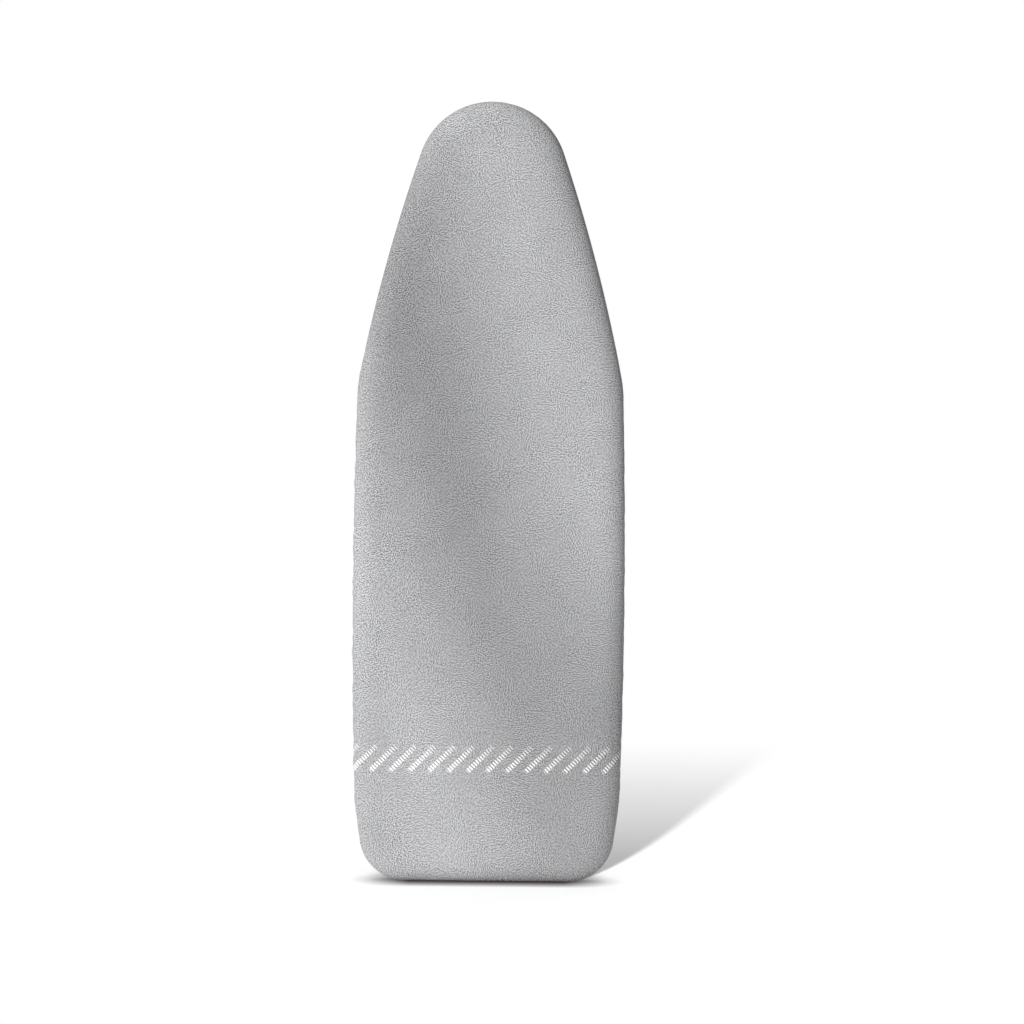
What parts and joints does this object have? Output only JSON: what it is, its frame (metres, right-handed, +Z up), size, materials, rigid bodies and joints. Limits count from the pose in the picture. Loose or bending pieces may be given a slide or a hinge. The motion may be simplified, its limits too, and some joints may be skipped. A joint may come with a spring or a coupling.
{
  "type": "ironing board",
  "caption": "Folding ironing board with a tapered padded top and crossed tube legs that set its height; stored folded and standing on its tail edge.",
  "frame": {"origin": "middle of the tail edge of the covered board, on the floor it stands on", "axes": "+Z up the board from the tail edge to the nose, -Y out of the ironing face, +X across the board"},
  "size_m": [0.417, 0.082, 1.1999],
  "materials": {
    "cover_fabric": "heathered woven cotton, matt",
    "felt": "needled felt",
    "binding_tape": "woven tape",
    "elastic_cord": "braided elastic",
    "painted_steel": "powder coat, light grey, satin",
    "leg_enamel": "powder coat, silver grey, satin",
    "zinc_plate": "bright zinc plating",
    "rivet_aluminium": "plain aluminium",
    "dark_plastic": "moulded, fine spark texture",
    "bearing_plastic": "natural acetal",
    "foot_rubber": "moulded rubber"
  },
  "bodies": {
    "board": {"cover": "cover_fabric", "hem_binding": "binding_tape", "hem_elastic": "elastic_cord", "elastic_crimp": "zinc_plate", "felt_pad": "felt", "mesh_plate": "painted_steel", "rim_tube": "painted_steel", "cross_member_tail": "painted_steel", "cross_member_lever": "painted_steel", "cross_member_middle": "painted_steel", "cross_member_nose": "painted_steel", "slide_rail": "painted_steel", "rail_screws": "zinc_plate", "rail_nuts": "zinc_plate", "pivot_bracket_left": "painted_steel", "pivot_bracket_right": "painted_steel", "bracket_rivets": "rivet_aluminium", "pivot_bolts": "zinc_plate", "pivot_nuts": "zinc_plate", "pivot_washers": "zinc_plate", "leg_clip_left": "dark_plastic", "leg_clip_right": "dark_plastic", "clip_rivets": "rivet_aluminium", "lever_bracket": "painted_steel", "lever_bracket_rivets": "rivet_aluminium", "shaft_bushes": "bearing_plastic", "rack_guide_pins": "zinc_plate", "rack_spacers": "bearing_plastic"},
    "outer_leg": {"outer_leg_tube_left": "leg_enamel", "outer_leg_tube_right": "leg_enamel", "tail_foot_bar": "leg_enamel", "tail_foot_cap_left": "foot_rubber", "tail_foot_cap_right": "foot_rubber", "top_pivot_bushes": "bearing_plastic", "outer_tube_plugs": "dark_plastic", "crossing_bolts": "zinc_plate", "crossing_nuts": "zinc_plate", "crossing_spacers": "bearing_plastic"},
    "inner_leg": {"inner_leg_tube_left": "leg_enamel", "inner_leg_tube_right": "leg_enamel", "nose_foot_bar": "leg_enamel", "nose_foot_cap_left": "foot_rubber", "nose_foot_cap_right": "foot_rubber", "crossing_bushes": "bearing_plastic", "inner_brace": "leg_enamel", "inner_tube_plugs": "dark_plastic", "slide_rod": "zinc_plate", "rail_glides": "bearing_plastic"},
    "height_lever": {"lever_shaft": "zinc_plate", "lever_crank": "zinc_plate", "shaft_circlip": "zinc_plate", "lever_handle": "dark_plastic"},
    "height_rack": {"notch_rack": "zinc_plate"}
  },
  "joints": [
    {"name": "legs_fold", "type": "hinge", "parent": "board", "child": "outer_leg", "pos_m": [0, 0.046, 0.96], "axis": [1, 0, 0], "range_deg": [0, 62]},
    {"name": "legs_cross", "type": "hinge", "parent": "outer_leg", "child": "inner_leg", "pos_m": [0, 0.046, 0.521], "axis": [1, 0, 0], "range_deg": [-124, 0]},
    {"name": "lever_turn", "type": "hinge", "parent": "board", "child": "height_lever", "pos_m": [0.06, 0.027, 0.33], "axis": [1, 0, 0], "range_deg": [0, 70]},
    {"name": "rack_slide", "type": "slide", "parent": "board", "child": "height_rack", "axis": [0, 1, 0], "range_m": [0, 0.00804]}
  ],
  "couplings": [
    {"joint": "legs_cross", "follows": "legs_fold", "ratio": -2},
    {"joint": "rack_slide", "follows": "lever_turn", "m_per_rad": 0.0065727}
  ]
}
